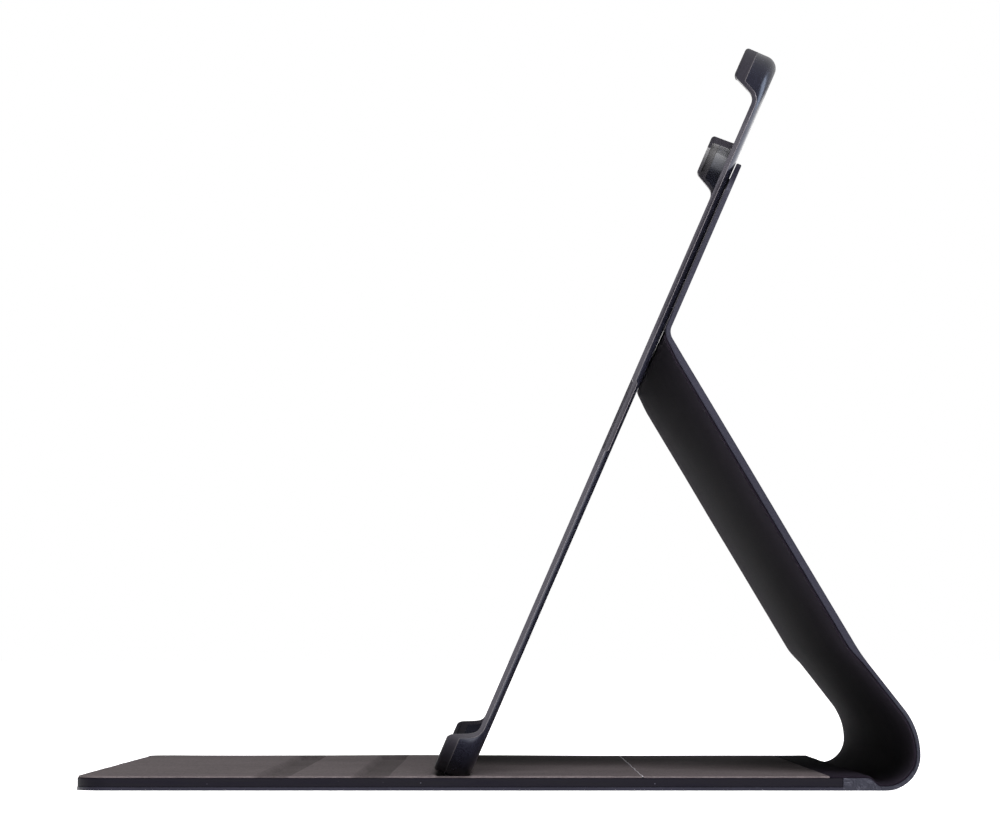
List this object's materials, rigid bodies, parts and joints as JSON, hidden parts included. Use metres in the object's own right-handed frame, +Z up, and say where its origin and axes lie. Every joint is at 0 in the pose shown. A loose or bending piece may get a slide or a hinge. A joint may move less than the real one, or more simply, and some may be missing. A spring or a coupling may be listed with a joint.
{
  "type": "tablet case",
  "caption": "Folio case standing open: flat cover with grooves, soft spine, folding stand panel and a hard tray that leans back to hold a tablet.",
  "frame": {"origin": "middle of the standing case's footprint, on the table", "axes": "+X from the cover's free edge to the spine, +Y along the long side away from the charging port side, +Z up"},
  "size_m": [0.1922, 0.254, 0.1714],
  "materials": {
    "outer_skin": "fine grained synthetic leather, satin",
    "cover_lining": "brushed microfibre",
    "stand_lining": "brushed microfibre, darker",
    "board": "pressed fibreboard, hidden",
    "magnet": "plated",
    "shell": "hard, glossy",
    "bumper": "soft, satin",
    "adhesive": "hidden sheet"
  },
  "bodies": {
    "front_cover": {"cover_skin": "outer_skin", "cover_board_1": "board", "cover_board_2": "board", "cover_board_3": "board", "cover_board_4": "board", "groove_magnet_1": "magnet", "groove_magnet_2": "magnet", "groove_magnet_3": "magnet", "closure_magnet_1": "magnet", "closure_magnet_2": "magnet", "grooved_lining": "cover_lining", "plain_lining": "cover_lining", "hinge_lining": "stand_lining"},
    "spine": {"spine_skin": "outer_skin", "spine_lining": "stand_lining"},
    "stand": {"stand_skin": "outer_skin", "stand_board": "board", "stand_lining": "stand_lining"},
    "holder": {"rear_shell": "shell", "bumper_frame": "bumper", "keeper_strip": "magnet", "panel_adhesive": "adhesive", "panel_board": "board", "panel_skin": "outer_skin"}
  },
  "joints": [
    {"name": "cover_crease", "type": "hinge", "parent": "front_cover", "child": "spine", "pos_m": [0.09234, 0, 0.00065], "axis": [0, 1, 0], "range_deg": [0, 150]},
    {"name": "spine_crease", "type": "hinge", "parent": "spine", "child": "stand", "pos_m": [0.09799, 0, 0.01043], "axis": [0, 1, 0], "range_deg": [0, 60.5]},
    {"name": "mid_fold", "type": "hinge", "parent": "stand", "child": "holder", "pos_m": [0.03858, 0, 0.10305], "axis": [0, 1, 0], "range_deg": [-54, 0]}
  ],
  "couplings": [
    {"joint": "mid_fold", "follows": "spine_crease", "ratio": -0.892}
  ]
}
